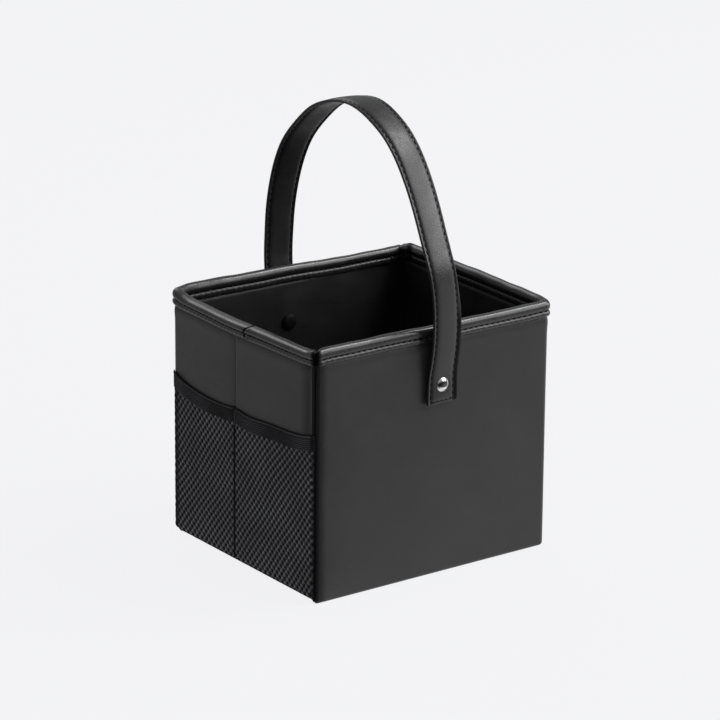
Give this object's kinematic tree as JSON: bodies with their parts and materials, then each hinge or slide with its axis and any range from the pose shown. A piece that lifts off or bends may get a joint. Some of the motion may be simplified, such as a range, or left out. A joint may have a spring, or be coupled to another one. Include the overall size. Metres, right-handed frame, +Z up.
{
  "type": "foldable car organizer",
  "caption": "Open-topped folding storage box in stiffened black leather with a rolled stitched rim, mesh side pockets and a riveted strap handle; its side walls crease inward to fold flat.",
  "frame": {"origin": "middle of the underside of the box", "axes": "+Z up, X along the front wall, front wall at -Y, pocket wall at -X"},
  "size_m": [0.223, 0.2154, 0.3543],
  "materials": {
    "shell_leather": "smooth matt black imitation leather",
    "binding_leather": "soft satin black imitation leather, rolled and stitched",
    "strap_leather": "fine-grained satin black imitation leather, stitched along both edges",
    "strap_backing": "matt black leather backing",
    "stiffener": "plain board, hidden in the walls",
    "lining": "black smooth lining cloth",
    "mesh": "black knitted mesh",
    "elastic": "black ribbed elastic",
    "rivet": "polished nickel",
    "rivet_cap": "black enamelled cap"
  },
  "bodies": {
    "front_wall": {"front_skin": "shell_leather", "front_board": "stiffener", "front_lining": "lining", "front_binding": "binding_leather", "front_rivet": "rivet", "front_rivet_cap": "rivet_cap"},
    "left_front_panel": {"left_front_skin": "shell_leather", "left_front_board": "stiffener", "left_front_lining": "lining", "left_front_binding": "binding_leather", "gusset_left_front": "shell_leather", "pocket_mesh_front": "mesh", "pocket_elastic_front": "elastic"},
    "left_rear_panel": {"left_rear_skin": "shell_leather", "left_rear_board": "stiffener", "left_rear_lining": "lining", "left_rear_binding": "binding_leather", "gusset_left_rear": "shell_leather", "pocket_mesh_rear": "mesh", "pocket_elastic_rear": "elastic"},
    "rear_wall": {"rear_skin": "shell_leather", "rear_board": "stiffener", "rear_lining": "lining", "rear_binding": "binding_leather", "rear_rivet": "rivet", "rear_rivet_cap": "rivet_cap"},
    "right_rear_panel": {"right_rear_skin": "shell_leather", "right_rear_board": "stiffener", "right_rear_lining": "lining", "right_rear_binding": "binding_leather", "gusset_right_rear": "shell_leather"},
    "right_front_panel": {"right_front_skin": "shell_leather", "right_front_board": "stiffener", "right_front_lining": "lining", "right_front_binding": "binding_leather", "gusset_right_front": "shell_leather"},
    "base_front_panel": {"base_front_skin": "shell_leather", "base_front_board": "stiffener", "base_front_lining": "lining"},
    "base_rear_panel": {"base_rear_skin": "shell_leather", "base_rear_board": "stiffener", "base_rear_lining": "lining"},
    "handle": {"handle_strap": "strap_leather", "handle_backing": "strap_backing"}
  },
  "joints": [
    {"name": "fold", "type": "hinge", "parent": "front_wall", "child": "left_front_panel", "pos_m": [-0.1, -0.088, 0.1], "axis": [0, 0, -1], "range_deg": [0, 86], "deforming": ["gusset_left_front", "gusset_left_rear", "gusset_right_front", "gusset_right_rear", "pocket_mesh_front", "pocket_mesh_rear", "pocket_elastic_front", "pocket_elastic_rear", "handle_strap", "handle_backing"]},
    {"name": "left_crease", "type": "hinge", "parent": "left_front_panel", "child": "left_rear_panel", "pos_m": [-0.1122, 0, 0.1], "axis": [0, 0, 1], "range_deg": [0, 172]},
    {"name": "rear_left_corner", "type": "hinge", "parent": "left_rear_panel", "child": "rear_wall", "pos_m": [-0.1, 0.088, 0.1], "axis": [0, 0, -1], "range_deg": [0, 86]},
    {"name": "rear_right_corner", "type": "hinge", "parent": "rear_wall", "child": "right_rear_panel", "pos_m": [0.1, 0.088, 0.1], "axis": [0, 0, -1], "range_deg": [0, 86]},
    {"name": "front_right_corner", "type": "hinge", "parent": "front_wall", "child": "right_front_panel", "pos_m": [0.1, -0.088, 0.1], "axis": [0, 0, 1], "range_deg": [0, 86]},
    {"name": "base_hinge", "type": "hinge", "parent": "front_wall", "child": "base_front_panel", "pos_m": [0, -0.088, 0.004], "axis": [1, 0, 0], "range_deg": [0, 86]},
    {"name": "base_ridge", "type": "hinge", "parent": "base_front_panel", "child": "base_rear_panel", "pos_m": [0, 0, -0.0082], "axis": [-1, 0, 0], "range_deg": [0, 172]},
    {"name": "handle_swing", "type": "hinge", "parent": "front_wall", "child": "handle", "pos_m": [0, 0, 0.154], "axis": [-0.0408, 0.9992, 0], "range_deg": [-50, 50]}
  ],
  "couplings": [
    {"joint": "left_crease", "follows": "fold", "ratio": 2},
    {"joint": "rear_left_corner", "follows": "fold", "ratio": 1},
    {"joint": "rear_right_corner", "follows": "fold", "ratio": 1},
    {"joint": "front_right_corner", "follows": "fold", "ratio": 1},
    {"joint": "base_hinge", "follows": "fold", "ratio": 1},
    {"joint": "base_ridge", "follows": "fold", "ratio": 2}
  ]
}
